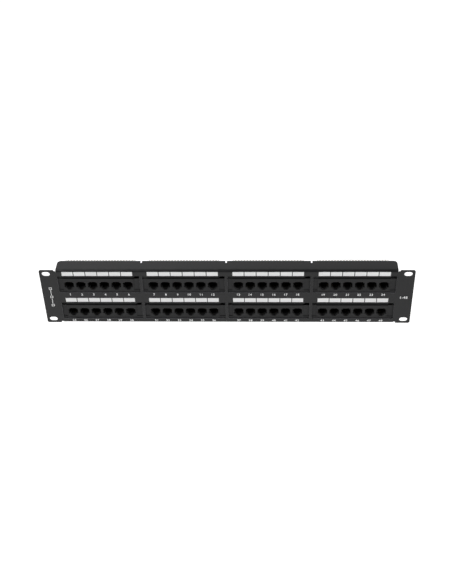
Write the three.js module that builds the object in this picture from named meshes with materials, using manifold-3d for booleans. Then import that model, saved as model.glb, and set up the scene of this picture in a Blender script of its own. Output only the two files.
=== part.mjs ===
// A 19-inch, two rack unit patch panel with 48 sockets, in millimetres, +Z up, front towards -Y.
// The origin is midway between the rack rails, on the plane where the ears touch them, at mid height.
// Everything is drawn from the panel's front face and lower edge, and the whole group is shifted at the end.
import * as THREE from "three";
import { mergeVertices } from "three/addons/utils/BufferGeometryUtils.js";
import Module from "manifold-3d";

// ---- driving dimensions ----
const PANEL_WIDTH = 482.6; // 19 in
const PANEL_HEIGHT = 88.1; // two rack units less 0.8 mm clearance
const SHEET = 1.5; // steel thickness
const EAR_CORNER_R = 3;
const SLOT_CENTRE_X = 232.55; // rack screw slots, 465.1 apart
const SLOT_PITCH_Z = 76.2;
const SLOT_LENGTH = 10.5;
const SLOT_WIDTH = 7;

const BODY_HALF_WIDTH = 218.3; // the folded part between the ears
const FLANGE_DEPTH = 20.2; // front face to rear edge of the top and bottom flanges
const BEND_R = 3.4; // outer radius of the two folds
const FLANGE_CORNER_R = 5;
const EDGE_NOTCH = { width: 2, depth: 4.3 }; // in the flanges' rear edges, between the columns
const RELIEF = { width: 4.2, floor: 2.1, r: 1.5 }; // at the ends of the folds

const COLUMNS = 4;
const COLUMN_PITCH = 110.2;
const ROW_CENTRES = [65.1, 20.65]; // window centres above the lower edge, upper row first
const WINDOW = { width: 106.6, height: 27.6 };

const SOCKETS = 6; // in each housing
const SOCKET_PITCH = 15.4;
const SOCKET_SHIFT = -0.9; // the row of sockets sits this far off the window's centre line
const SOCKET_TOP = 3; // opening's top edge above the window's centre

const BORDER = { width: 109.4, top: 20, bottom: -17.7, front: 1.8, rear: 4.3 }; // rim behind the steel
const BLOCK = { width: 92.4, top: 8.4, bottom: -10.6, front: 1, rear: 13.6 }; // raised round the sockets
const STUD = { x: 49.7, z: 17, r: 1.4, end: 20.6 }; // welded to the steel, two for each module
const STUD_CLEARANCE_R = 1.75;
const BOSS_R = 3;

const GAP = 0.3; // between pieces that touch in use
const CARRIER = { width: 90.6, top: 6, bottom: -9.6, thickness: 1.8 };
const TONGUE = { width: 8, thickness: 1, front: 4 };
const BOARD = { width: 108.6, top: 19.6, bottom: -17, thickness: 1.6 };
const NUT = { flats: 5.5, height: 2.4 }; // M3
const IDC = { base: 2.5, rear: 35.4, top: 14.8, row: 12.6 }; // wire block, two rows of towers
const WIRE_SLOTS = 24; // in each row, four a socket
const WIRE_SLOT = { width: 1, depth: 7.5 };
const LABEL = { width: 91.4, height: 6.4, thickness: 0.25 };
const LABEL_CENTRES = [82.7, 39.2]; // above the lower edge, upper row first

// Depths that follow from the stack behind the steel.
const CARRIER_FRONT = BLOCK.rear + GAP;
const BOARD_FRONT = CARRIER_FRONT + CARRIER.thickness + GAP;
const BOARD_REAR = BOARD_FRONT + BOARD.thickness;
const IDC_FRONT = BOARD_REAR + GAP;
const WIRE_PITCH = SOCKET_PITCH / 4;
const SKIN = 0.02; // a label's adhesive
const ARC_STEPS = 5; // straight steps in each quarter-round

// ---- finishes ----
const finish = (color, roughness, metalness = 0) => ({ color, roughness, metalness });
const POWDER_COAT = finish(0x26272a, 0.55, 0.2);
const BLACK_PLASTIC = finish(0x202123, 0.5);
const CARRIER_PLASTIC = finish(0x17181a, 0.45);
const BOARD_GREEN = finish(0x14472b, 0.4);
const PALE_PLASTIC = finish(0xe6e6e1, 0.45);
const LABEL_WHITE = finish(0xefefef, 0.6);
const ZINC = finish(0xb9bcc0, 0.35, 0.9);

// ---- solids ----
const wasm = await Module();
wasm.setup();

function solid(geometry) {
  const bare = geometry.clone();
  bare.deleteAttribute("normal");
  bare.deleteAttribute("uv");
  const merged = mergeVertices(bare, 1e-4);
  return new wasm.Manifold(
    new wasm.Mesh({
      numProp: 3,
      vertProperties: merged.attributes.position.array,
      triVerts: new Uint32Array(merged.index.array),
    }),
  );
}

function geometryOf(body) {
  const mesh = body.getMesh();
  return new THREE.BufferGeometry()
    .setAttribute("position", new THREE.BufferAttribute(mesh.vertProperties, 3))
    .setIndex(new THREE.BufferAttribute(mesh.triVerts, 1))
    .toNonIndexed();
}

const joined = (first, ...rest) => rest.reduce((whole, body) => whole.add(body), first);
const cut = (first, ...rest) => rest.reduce((whole, body) => whole.subtract(body), first);

const extruded = (shape, depth) =>
  new THREE.ExtrudeGeometry(shape, { depth, bevelEnabled: false, curveSegments: ARC_STEPS });

// A flat outline drawn as seen from the front (x, z), given thickness from depth y0 to y1.
function slab(shape, y0, y1) {
  return solid(extruded(shape, y1 - y0).rotateX(Math.PI / 2).translate(0, y1, 0));
}

// A plan outline (x, y), given height from z0 to z1.
function column(shape, z0, z1) {
  return solid(extruded(shape, z1 - z0).translate(0, 0, z0));
}

// A section outline (y, z), run along X over a width that X = 0 halves.
function rail(shape, width) {
  const turned = new THREE.Matrix4().makeBasis(
    new THREE.Vector3(0, 1, 0),
    new THREE.Vector3(0, 0, 1),
    new THREE.Vector3(1, 0, 0),
  );
  return solid(extruded(shape, width).translate(0, 0, -width / 2).applyMatrix4(turned));
}

// A round bar along Y.
function bar(radius, y0, y1, x, z, sides = 8) {
  const geometry = new THREE.CylinderGeometry(radius, radius, y1 - y0, sides);
  return solid(geometry.translate(x, (y0 + y1) / 2, z));
}

function polygon(points) {
  return new THREE.Shape(points.map(([x, y]) => new THREE.Vector2(x, y)));
}

function rectangle(x0, x1, z0, z1) {
  return polygon([[x0, z0], [x1, z0], [x1, z1], [x0, z1]]);
}

function roundedRectangle(width, height, r, x = 0, z = 0) {
  const [x0, x1, z0, z1] = [x - width / 2, x + width / 2, z - height / 2, z + height / 2];
  const shape = new THREE.Shape();
  shape.moveTo(x0 + r, z0);
  shape.lineTo(x1 - r, z0);
  shape.absarc(x1 - r, z0 + r, r, -Math.PI / 2, 0);
  shape.lineTo(x1, z1 - r);
  shape.absarc(x1 - r, z1 - r, r, 0, Math.PI / 2);
  shape.lineTo(x0 + r, z1);
  shape.absarc(x0 + r, z1 - r, r, Math.PI / 2, Math.PI);
  shape.lineTo(x0, z0 + r);
  shape.absarc(x0 + r, z0 + r, r, Math.PI, 1.5 * Math.PI);
  return shape;
}

const columnX = (index) => (index - (COLUMNS - 1) / 2) * COLUMN_PITCH;
const socketX = (index) => SOCKET_SHIFT + (index - (SOCKETS - 1) / 2) * SOCKET_PITCH;
const eachSocket = (make) => Array.from({ length: SOCKETS }, (_, index) => make(socketX(index)));

// ---- front panel: one folded sheet with its welded studs ----

// The folded sheet's section: front wall with a flange to the rear at top and bottom.
function foldedSection() {
  const high = PANEL_HEIGHT;
  const inner = BEND_R - SHEET;
  const shape = new THREE.Shape();
  shape.moveTo(FLANGE_DEPTH, high);
  shape.lineTo(BEND_R, high);
  shape.absarc(BEND_R, high - BEND_R, BEND_R, Math.PI / 2, Math.PI);
  shape.lineTo(0, BEND_R);
  shape.absarc(BEND_R, BEND_R, BEND_R, Math.PI, 1.5 * Math.PI);
  shape.lineTo(FLANGE_DEPTH, 0);
  shape.lineTo(FLANGE_DEPTH, SHEET);
  shape.lineTo(BEND_R, SHEET);
  shape.absarc(BEND_R, BEND_R, inner, 1.5 * Math.PI, Math.PI, true);
  shape.lineTo(SHEET, high - BEND_R);
  shape.absarc(BEND_R, high - BEND_R, inner, Math.PI, Math.PI / 2, true);
  shape.lineTo(FLANGE_DEPTH, high - SHEET);
  return shape;
}

// The folded part seen from above: rounded rear corners and a notch between every two columns.
function foldedPlan() {
  const half = BODY_HALF_WIDTH;
  const rear = FLANGE_DEPTH;
  const r = FLANGE_CORNER_R;
  const shape = new THREE.Shape();
  shape.moveTo(-half, -1);
  shape.lineTo(half, -1);
  shape.lineTo(half, rear - r);
  shape.absarc(half - r, rear - r, r, 0, Math.PI / 2);
  for (let i = COLUMNS - 1; i > 0; i--) {
    const x = (columnX(i) + columnX(i - 1)) / 2;
    shape.lineTo(x + EDGE_NOTCH.width / 2, rear);
    shape.lineTo(x + EDGE_NOTCH.width / 2, rear - EDGE_NOTCH.depth);
    shape.lineTo(x - EDGE_NOTCH.width / 2, rear - EDGE_NOTCH.depth);
    shape.lineTo(x - EDGE_NOTCH.width / 2, rear);
  }
  shape.lineTo(-half + r, rear);
  shape.absarc(-half + r, rear - r, r, Math.PI / 2, Math.PI);
  return shape;
}

// One ear: a short root in the front wall, the relief at each end of the folds, and round outer corners.
function earOutline() {
  const root = BODY_HALF_WIDTH - 4;
  const edge = BODY_HALF_WIDTH + RELIEF.width;
  const outer = PANEL_WIDTH / 2;
  const shape = new THREE.Shape();
  shape.moveTo(root, BEND_R);
  shape.lineTo(BODY_HALF_WIDTH, BEND_R);
  shape.lineTo(BODY_HALF_WIDTH, RELIEF.floor);
  shape.lineTo(edge - RELIEF.r, RELIEF.floor);
  shape.absarc(edge - RELIEF.r, RELIEF.floor - RELIEF.r, RELIEF.r, Math.PI / 2, 0, true);
  shape.lineTo(edge, 0);
  shape.lineTo(outer - EAR_CORNER_R, 0);
  shape.absarc(outer - EAR_CORNER_R, EAR_CORNER_R, EAR_CORNER_R, -Math.PI / 2, 0);
  shape.lineTo(outer, PANEL_HEIGHT - EAR_CORNER_R);
  shape.absarc(outer - EAR_CORNER_R, PANEL_HEIGHT - EAR_CORNER_R, EAR_CORNER_R, 0, Math.PI / 2);
  shape.lineTo(edge, PANEL_HEIGHT);
  shape.lineTo(edge, PANEL_HEIGHT - RELIEF.floor + RELIEF.r);
  shape.absarc(
    edge - RELIEF.r, PANEL_HEIGHT - RELIEF.floor + RELIEF.r, RELIEF.r, 0, -Math.PI / 2, true,
  );
  shape.lineTo(BODY_HALF_WIDTH, PANEL_HEIGHT - RELIEF.floor);
  shape.lineTo(BODY_HALF_WIDTH, PANEL_HEIGHT - BEND_R);
  shape.lineTo(root, PANEL_HEIGHT - BEND_R);
  return shape;
}

const slotZ = (side) => PANEL_HEIGHT / 2 + (side * SLOT_PITCH_Z) / 2;

function frontPanel() {
  const plan = column(foldedPlan(), -1, PANEL_HEIGHT + 1);
  const folded = rail(foldedSection(), 2 * BODY_HALF_WIDTH).intersect(plan);
  const ear = slab(earOutline(), 0, SHEET);
  const otherEar = ear.mirror([1, 0, 0]);
  const studs = [];
  const openings = [];
  for (const side of [-1, 1]) {
    for (const end of [-1, 1]) {
      const slot = roundedRectangle(
        SLOT_LENGTH, SLOT_WIDTH, SLOT_WIDTH / 2 - 0.01, side * SLOT_CENTRE_X, slotZ(end),
      );
      openings.push(slab(slot, -1, SHEET + 1));
    }
  }
  for (let i = 0; i < COLUMNS; i++) {
    for (const z of ROW_CENTRES) {
      const [left, low] = [columnX(i) - WINDOW.width / 2, z - WINDOW.height / 2];
      const window = rectangle(left, left + WINDOW.width, low, low + WINDOW.height);
      openings.push(slab(window, -1, SHEET + 1));
      for (const side of [-1, 1]) {
        studs.push(bar(STUD.r, SHEET / 2, STUD.end, columnX(i) + side * STUD.x, z + STUD.z));
      }
    }
  }
  return geometryOf(joined(cut(joined(folded, ear, otherEar), ...openings), ...studs));
}

// ---- one module of six sockets, drawn about its window's centre ----

// A modular socket's opening: contact window on top, plug body, and two steps for the latch below.
function socketOutline(x) {
  const steps = [
    { half: 4.25, height: 1.5 },
    { half: 6, height: 6.6 },
    { half: 3.7, height: 1.95 },
    { half: 2.1, height: 1.95 },
  ];
  const right = [];
  let z = SOCKET_TOP;
  for (const { half, height } of steps) {
    right.push([x + half, z], [x + half, z - height]);
    z -= height;
  }
  const left = right.map(([px, pz]) => [2 * x - px, pz]).reverse();
  return polygon([...left, ...right]);
}

function jackHousing() {
  const half = BORDER.width / 2;
  const border = slab(rectangle(-half, half, BORDER.bottom, BORDER.top), BORDER.front, BORDER.rear);
  const [x0, x1] = [SOCKET_SHIFT - BLOCK.width / 2, SOCKET_SHIFT + BLOCK.width / 2];
  const block = slab(rectangle(x0, x1, BLOCK.bottom, BLOCK.top), BLOCK.front, BLOCK.rear);
  const bosses = [-1, 1].map((side) =>
    bar(BOSS_R, (BORDER.front + BORDER.rear) / 2, BOARD_FRONT - GAP, side * STUD.x, STUD.z, 12),
  );
  const bores = [-1, 1].map((side) =>
    bar(STUD_CLEARANCE_R, BORDER.front - 1, BOARD_FRONT + 1, side * STUD.x, STUD.z),
  );
  const sockets = eachSocket((x) => slab(socketOutline(x), BLOCK.front - 1, BLOCK.rear + 1));
  return geometryOf(cut(joined(border, block, ...bosses), ...bores, ...sockets));
}

// The moulding that spaces the contact springs: a plate with a tongue into each socket's contact window.
function contactCarrier() {
  const [x0, x1] = [SOCKET_SHIFT - CARRIER.width / 2, SOCKET_SHIFT + CARRIER.width / 2];
  const plate = slab(
    rectangle(x0, x1, CARRIER.bottom, CARRIER.top), CARRIER_FRONT, CARRIER_FRONT + CARRIER.thickness,
  );
  const top = SOCKET_TOP - 0.25;
  const tongues = eachSocket((x) =>
    slab(
      rectangle(x - TONGUE.width / 2, x + TONGUE.width / 2, top - TONGUE.thickness, top),
      TONGUE.front,
      CARRIER_FRONT + 1,
    ),
  );
  return geometryOf(joined(plate, ...tongues));
}

function circuitBoard() {
  const outline = rectangle(-BOARD.width / 2, BOARD.width / 2, BOARD.bottom, BOARD.top);
  const bores = [-1, 1].map((side) =>
    bar(STUD_CLEARANCE_R, BOARD_FRONT - 1, BOARD_REAR + 1, side * STUD.x, STUD.z),
  );
  return geometryOf(cut(slab(outline, BOARD_FRONT, BOARD_REAR), ...bores));
}

// One row of wire towers seen from above: a bar with a wire slot cut into its rear for every wire.
function towerPlan() {
  const half = (WIRE_SLOTS * WIRE_PITCH) / 2;
  const root = IDC_FRONT + IDC.base / 2;
  const points = [[SOCKET_SHIFT - half, root], [SOCKET_SHIFT + half, root], [SOCKET_SHIFT + half, IDC.rear]];
  for (let i = WIRE_SLOTS - 1; i >= 0; i--) {
    const x = SOCKET_SHIFT + (i - (WIRE_SLOTS - 1) / 2) * WIRE_PITCH;
    const [near, far] = [x + WIRE_SLOT.width / 2, x - WIRE_SLOT.width / 2];
    points.push([near, IDC.rear], [near, IDC.rear - WIRE_SLOT.depth]);
    points.push([far, IDC.rear - WIRE_SLOT.depth], [far, IDC.rear]);
  }
  points.push([SOCKET_SHIFT - half, IDC.rear]);
  return polygon(points);
}

function wireBlock() {
  const half = (WIRE_SLOTS * WIRE_PITCH) / 2;
  const outline = rectangle(SOCKET_SHIFT - half, SOCKET_SHIFT + half, -IDC.top, IDC.top);
  const base = slab(outline, IDC_FRONT, IDC_FRONT + IDC.base);
  const inset = 0.2;
  const upper = column(towerPlan(), IDC.top - inset - IDC.row, IDC.top - inset);
  const lower = column(towerPlan(), inset - IDC.top, inset - IDC.top + IDC.row);
  return geometryOf(joined(base, upper, lower));
}

function hexNut() {
  const body = bar(NUT.flats / Math.sqrt(3), BOARD_REAR + GAP, BOARD_REAR + GAP + NUT.height, 0, 0, 6);
  const bore = bar(STUD_CLEARANCE_R, BOARD_REAR, BOARD_REAR + NUT.height + 1, 0, 0);
  return geometryOf(cut(body, bore));
}

function labelStrip() {
  const [x0, x1] = [SOCKET_SHIFT - LABEL.width / 2, SOCKET_SHIFT + LABEL.width / 2];
  return geometryOf(slab(rectangle(x0, x1, -LABEL.height / 2, LABEL.height / 2), -LABEL.thickness, -SKIN));
}

// ---- assembly ----
const patchPanel = new THREE.Group();
patchPanel.position.set(0, -SHEET, -PANEL_HEIGHT / 2);

function piece(name, geometry, look, x = 0, z = 0) {
  const mesh = new THREE.Mesh(geometry, new THREE.MeshStandardMaterial(look));
  mesh.name = name;
  mesh.position.set(x, 0, z);
  patchPanel.add(mesh);
}

piece("front_panel", frontPanel(), POWDER_COAT);

const housing = jackHousing();
const carrier = contactCarrier();
const board = circuitBoard();
const towers = wireBlock();
const nut = hexNut();
const label = labelStrip();

ROW_CENTRES.forEach((z, row) => {
  for (let i = 0; i < COLUMNS; i++) {
    const number = row * COLUMNS + i + 1;
    const x = columnX(i);
    piece("jack_housing_" + number, housing, BLACK_PLASTIC, x, z);
    piece("contact_carrier_" + number, carrier, CARRIER_PLASTIC, x, z);
    piece("circuit_board_" + number, board, BOARD_GREEN, x, z);
    piece("wire_block_" + number, towers, PALE_PLASTIC, x, z);
    piece("label_strip_" + number, label, LABEL_WHITE, x, LABEL_CENTRES[row]);
    piece("module_nut_" + number + "_left", nut, ZINC, x - STUD.x, z + STUD.z);
    piece("module_nut_" + number + "_right", nut, ZINC, x + STUD.x, z + STUD.z);
  }
});

export default patchPanel;
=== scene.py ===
import math
from contextlib import contextmanager

import bmesh
import bpy
from bpy.props import FloatProperty, FloatVectorProperty, IntProperty, PointerProperty
from mathutils import Matrix, Vector


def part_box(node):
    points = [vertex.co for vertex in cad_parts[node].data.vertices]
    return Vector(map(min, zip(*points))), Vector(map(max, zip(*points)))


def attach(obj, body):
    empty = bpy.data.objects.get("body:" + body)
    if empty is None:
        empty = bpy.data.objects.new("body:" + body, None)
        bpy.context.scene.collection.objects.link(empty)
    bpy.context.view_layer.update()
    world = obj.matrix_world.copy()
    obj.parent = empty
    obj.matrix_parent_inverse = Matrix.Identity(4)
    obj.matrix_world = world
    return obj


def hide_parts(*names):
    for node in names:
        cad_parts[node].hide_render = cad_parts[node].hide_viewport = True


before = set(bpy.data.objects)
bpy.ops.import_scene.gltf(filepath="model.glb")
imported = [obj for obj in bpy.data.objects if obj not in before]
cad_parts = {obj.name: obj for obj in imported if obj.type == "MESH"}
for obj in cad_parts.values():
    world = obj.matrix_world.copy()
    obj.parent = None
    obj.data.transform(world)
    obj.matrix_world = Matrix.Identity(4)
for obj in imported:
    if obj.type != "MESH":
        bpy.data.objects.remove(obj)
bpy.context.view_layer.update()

bl_info = {
    "name": "Patch panel, two rack units",
    "version": (1, 0, 0),
    "blender": (4, 5, 0),
    "location": "3D View > Sidebar > Patch panel",
    "description": "Folded steel front with eight modules of six sockets, wire blocks, labels and numbers",
    "category": "Object",
}

MM = 0.001
MODULES = range(1, 9)
SOCKETS = 6
CONTACTS = 8  # springs in a socket
PAIR_WIRES = 24  # wire slots in a row of towers
X, Y, Z = range(3)
STRAIGHT = 0.99  # how far along an axis a direction must point to count as along it


def mm(*values):
    """Millimetres as metres, a single number or a tuple."""
    metres = tuple(value * MM for value in values)
    return metres[0] if len(metres) == 1 else metres


# ---- places read from the frame ----
PANEL_LOW, PANEL_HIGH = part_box("front_panel")
EAR_REAR = 0.0  # the ears' rear faces touch the rack rails
STEEL_FRONT = PANEL_LOW.y
HALF_WIDTH = PANEL_HIGH.x
HALF_HEIGHT = PANEL_HIGH.z
FLANGE_REAR = PANEL_HIGH.y  # the flanges are drawn as far back as the studs reach
BOARD_BELOW = mm(17)  # from a module's centre to its board's lower edge


def module_place(number):
    """The middle of a module's window, on the ears' rear plane."""
    low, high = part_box(f"circuit_board_{number}")
    return Vector(((low.x + high.x) / 2, 0, low.z + BOARD_BELOW))


MODULE_PLACES = {number: module_place(number) for number in MODULES}
HOME = MODULE_PLACES[1]


def home_box(node):
    """The box of a node of module 1, measured from that module's centre."""
    low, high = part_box(node)
    return low - HOME, high - HOME


HOUSING_LOW, HOUSING_HIGH = home_box("jack_housing_1")
CARRIER_LOW, CARRIER_HIGH = home_box("contact_carrier_1")
BOARD_LOW, BOARD_HIGH = home_box("circuit_board_1")
BLOCK_LOW, BLOCK_HIGH = home_box("wire_block_1")
NUT_LOW, NUT_HIGH = home_box("module_nut_1_right")

SOCKET_PITCH = mm(15.4)
WIRE_PITCH = SOCKET_PITCH / 4
ROW_MIDDLE = (BLOCK_LOW.x + BLOCK_HIGH.x) / 2  # the sockets' middle, a little off the window's
STUD_X = (NUT_LOW.x + NUT_HIGH.x) / 2
STUD_Z = (NUT_LOW.z + NUT_HIGH.z) / 2


# ---- what a user would change ----
def length_property(name, description, default, precision=4):
    """A length in metres."""
    return FloatProperty(
        name=name, description=description, default=default, unit="LENGTH", precision=precision
    )


def colour_property(name, description, default):
    """A colour swatch."""
    return FloatVectorProperty(
        name=name, description=description, default=default, subtype="COLOR", size=3, min=0, max=1
    )


class SheetSizes(bpy.types.PropertyGroup):
    """The folded steel front."""

    thickness: length_property("Sheet", "Thickness of the steel", -STEEL_FRONT)
    bend: length_property("Upper bend", "Outer radius of the upper fold", mm(3.4))
    lower_bend: length_property("Lower bend", "Outer radius of the lower fold", mm(2.3))
    edge: length_property("Edge softness", "Width of the paint's round on each cut edge", mm(0.16), 5)
    window_width: length_property("Window width", "Width of a module's window", mm(106.6))
    window_height: length_property("Window height", "Height of a module's window", mm(27.6))
    slot_length: length_property("Slot length", "Length of a rack screw slot", mm(10.5))
    slot_width: length_property("Slot width", "Width of a rack screw slot", mm(7))


class ModuleSizes(bpy.types.PropertyGroup):
    """What stands behind each window."""

    plastic_edge: length_property("Moulded edge", "Round on the edges of the housings", mm(0.15), 5)
    spring_width: length_property("Spring width", "Width of a contact spring", mm(0.34), 5)
    spring_pitch: length_property("Spring pitch", "Distance between contact springs", mm(1.02), 5)
    wire_slot: length_property("Wire slot", "Width of a wire slot in a tower row", mm(1))
    thread_turns: IntProperty(
        name="Thread turns", description="Turns of thread showing past each nut", default=9, min=2, max=30
    )


class MarkSizes(bpy.types.PropertyGroup):
    """Labels and printing."""

    field_gap: length_property("Field gap", "Dark gap between two writing fields", mm(1))
    digit_height: length_property("Digit height", "Height of the socket numbers", mm(3.5))
    first_number: IntProperty(
        name="First number", description="Number printed at the first socket", default=1, min=0
    )


class FinishColours(bpy.types.PropertyGroup):
    """Base colours of the finishes."""

    coat: colour_property("Powder coat", "Satin black powder coat on the steel", (0.0105, 0.0105, 0.0112))
    housing: colour_property("Housing", "Black moulded ABS", (0.0115, 0.0115, 0.0122))
    board: colour_property("Solder mask", "Green solder mask", (0.012, 0.105, 0.045))
    wire_block: colour_property("Wire block", "Pale moulded polycarbonate", (0.78, 0.78, 0.745))
    paper: colour_property("Label paper", "White writing fields", (0.87, 0.87, 0.87))
    ink: colour_property("Printing", "White pad printing", (0.88, 0.88, 0.88))
    floor: colour_property("Floor", "Pale studio floor", (0.93, 0.93, 0.925))


class StageSettings(bpy.types.PropertyGroup):
    """Floor, light and camera."""

    floor_drop: length_property("Floor drop", "How far the floor lies below the panel's middle", 0.62)
    key_power: FloatProperty(name="Key light", description="Watts of the left softbox", default=8)
    fill_power: FloatProperty(name="Fill light", description="Watts of the right softbox", default=16)
    rim_power: FloatProperty(name="Rim light", description="Watts of the strip behind the panel", default=3)
    room_strength: FloatProperty(
        name="Room light", description="Strength of the white room around the panel", default=1.0
    )
    focal_length: FloatProperty(
        name="Focal length", description="Camera lens on a 36 mm sensor", default=59.837,
        subtype="DISTANCE_CAMERA",
    )


# ---- modelling helpers ----
def alone(obj):
    """Selects one object and makes it active."""
    bpy.ops.object.select_all(action="DESELECT")
    obj.select_set(True)
    bpy.context.view_layer.objects.active = obj
    return obj


@contextmanager
def editing(obj, mode="FACE"):
    """Edit mode on one object with nothing selected."""
    alone(obj)
    bpy.ops.object.mode_set(mode="EDIT")
    bpy.ops.mesh.select_mode(type=mode)
    bpy.ops.mesh.select_all(action="DESELECT")
    yield
    bpy.ops.object.mode_set(mode="OBJECT")


def pick(kind, test):
    """In edit mode, selects only the edges or faces that pass a test on their middle and direction."""
    mesh = bmesh.from_edit_mesh(bpy.context.object.data)
    bpy.ops.mesh.select_all(action="DESELECT")
    for item in getattr(mesh, kind):
        if kind == "edges":
            start, end = (vert.co for vert in item.verts)
            chosen = test((start + end) / 2, (end - start).normalized())
        else:
            chosen = test(item.calc_center_median(), item.normal)
        if chosen:
            item.select_set(True)
    bmesh.update_edit_mesh(bpy.context.object.data)


def near(value, target, slack=mm(0.02)):
    return abs(value - target) < slack


def edges_at(axis, **places):
    """A test for edges along one axis, at the given places on the others, on either side of the middle."""
    def test(at, way):
        placed = all(near(abs(getattr(at, name)), place) for name, place in places.items())
        return abs(way[axis]) > STRAIGHT and placed

    return test


def extrude(move, kind="region"):
    """Extrudes what is selected by a move in metres."""
    operator = bpy.ops.mesh.extrude_region_move if kind == "region" else bpy.ops.mesh.extrude_edges_move
    operator(TRANSFORM_OT_translate={"value": tuple(move)})


def bisect_all(axis, value):
    """Cuts the whole mesh along a plane across one axis, without removing anything."""
    place = [0, 0, 0]
    normal = [0, 0, 0]
    place[axis] = value
    normal[axis] = 1
    bpy.ops.mesh.select_all(action="SELECT")
    bpy.ops.mesh.bisect(plane_co=place, plane_no=normal, threshold=1e-6)


def face_outwards():
    """In edit mode, turns every face of a closed mesh outwards."""
    bpy.ops.mesh.select_all(action="SELECT")
    bpy.ops.mesh.normals_make_consistent(inside=False)


def applied(obj):
    """Puts an object's own place, turn and scale in its mesh."""
    alone(obj)
    bpy.ops.object.transform_apply(location=True, rotation=True, scale=True)
    return obj


def box(low, high):
    """A block between two corners, to be shaped further."""
    low = Vector(low)
    high = Vector(high)
    bpy.ops.object.select_all(action="DESELECT")
    bpy.ops.mesh.primitive_cube_add(size=1, location=(low + high) / 2, scale=high - low)
    return applied(bpy.context.object)


def sheet_of(middle, width, length, tilt=0.0):
    """A flat surface about a place, tilted about X."""
    bpy.ops.object.select_all(action="DESELECT")
    bpy.ops.mesh.primitive_plane_add(size=1, location=middle, rotation=(tilt, 0, 0))
    surface = bpy.context.object
    surface.scale = (width, length, 1)
    return applied(surface)


def bar(radius, start, end, sides=24, turn=0.0):
    """A round bar along Y between two points."""
    start = Vector(start)
    end = Vector(end)
    bpy.ops.object.select_all(action="DESELECT")
    bpy.ops.mesh.primitive_cylinder_add(
        vertices=sides, radius=radius, depth=end.y - start.y, location=(start + end) / 2,
        rotation=(math.pi / 2, turn, 0),
    )
    return applied(bpy.context.object)


def prism(points, start, end, upright=False):
    """A prism over an outline: of (x, z) points run along Y, or of (x, y) points run up along Z."""
    bpy.ops.object.select_all(action="DESELECT")
    bpy.ops.mesh.primitive_circle_add(vertices=len(points), radius=mm(1), fill_type="NGON")
    piece = bpy.context.object
    with editing(piece, "FACE"):
        mesh = bmesh.from_edit_mesh(piece.data)
        for vert, (x, other) in zip(mesh.verts, points):
            vert.co = (x, other, start) if upright else (x, start, other)
        bmesh.update_edit_mesh(piece.data)
        bpy.ops.mesh.select_all(action="SELECT")
        extrude((0, 0, end - start) if upright else (0, end - start, 0))
        face_outwards()
    return piece


def modify(obj, kind, **settings):
    """Adds a modifier, sets it and applies it."""
    alone(obj)
    bpy.ops.object.modifier_add(type=kind)
    modifier = obj.modifiers[-1]
    for name, value in settings.items():
        setattr(modifier, name, value)
    bpy.ops.object.modifier_apply(modifier=modifier.name)
    return obj


def repeat(obj, count, pitch):
    """A row of copies along X in the same mesh."""
    return modify(
        obj, "ARRAY", count=count, use_relative_offset=False, use_constant_offset=True,
        constant_offset_displace=(pitch, 0, 0),
    )


def together(pieces):
    """Joins several objects into the first one."""
    bpy.ops.object.select_all(action="DESELECT")
    for piece in pieces:
        piece.select_set(True)
    bpy.context.view_layer.objects.active = pieces[0]
    if len(pieces) > 1:
        bpy.ops.object.join()
    return pieces[0]


def combine(obj, others, operation):
    """A Boolean with a list of tools that don't overlap, which are used up."""
    tool = together(others)
    modify(obj, "BOOLEAN", object=tool, operation=operation, solver="EXACT")
    bpy.data.objects.remove(tool)
    return obj


def round_edges(obj, test, radius, segments):
    """Rounds the chosen edges of a block."""
    with editing(obj, "EDGE"):
        pick("edges", test)
        bpy.ops.mesh.bevel(offset=radius, segments=segments, affect="EDGES")
    return obj


def smooth(obj, angle):
    """Shades an object smooth, except across edges sharper than an angle in degrees."""
    alone(obj)
    bpy.ops.object.shade_smooth_by_angle(angle=math.radians(angle))
    return obj


def soften(obj, width, segments=2, angle=35, edge_material=-1):
    """Rounds every sharp edge a little, keeping the flats flat."""
    return modify(
        smooth(obj, angle), "BEVEL", width=width, segments=segments, limit_method="ANGLE",
        angle_limit=math.radians(angle), harden_normals=True, use_clamp_overlap=True,
        miter_outer="MITER_ARC", material=edge_material,
    )


def dress(obj, *materials):
    """Gives an object its materials, the first one on every face."""
    obj.data.materials.clear()
    for material in materials:
        obj.data.materials.append(material)
    return obj


def settle(obj, name, slot, *replaced):
    """Names a finished piece, lets it ride and says what it stands for."""
    obj.name = name
    obj.data.name = name
    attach(obj, "root")
    if replaced:
        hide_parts(*replaced)
    return obj


def copy_at(master, place):
    """A copy with its own mesh, moved by a place."""
    piece = master.copy()
    piece.data = master.data.copy()
    piece.data.transform(Matrix.Translation(place))
    bpy.context.scene.collection.objects.link(piece)
    return piece


def spread(master, name, slot, node=None):
    """Copies a piece modelled about a module's centre to all eight modules, each with its own mesh."""
    for number, place in MODULE_PLACES.items():
        settle(copy_at(master, place), f"{name}_{number}", slot, *([f"{node}_{number}"] if node else []))
    bpy.data.objects.remove(master)


# ---- shader maths ----
MIX_MASK, MIX_FIRST, MIX_SECOND, MIX_RESULT = 0, 6, 7, 2  # the Mix node's sockets for colours


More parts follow.
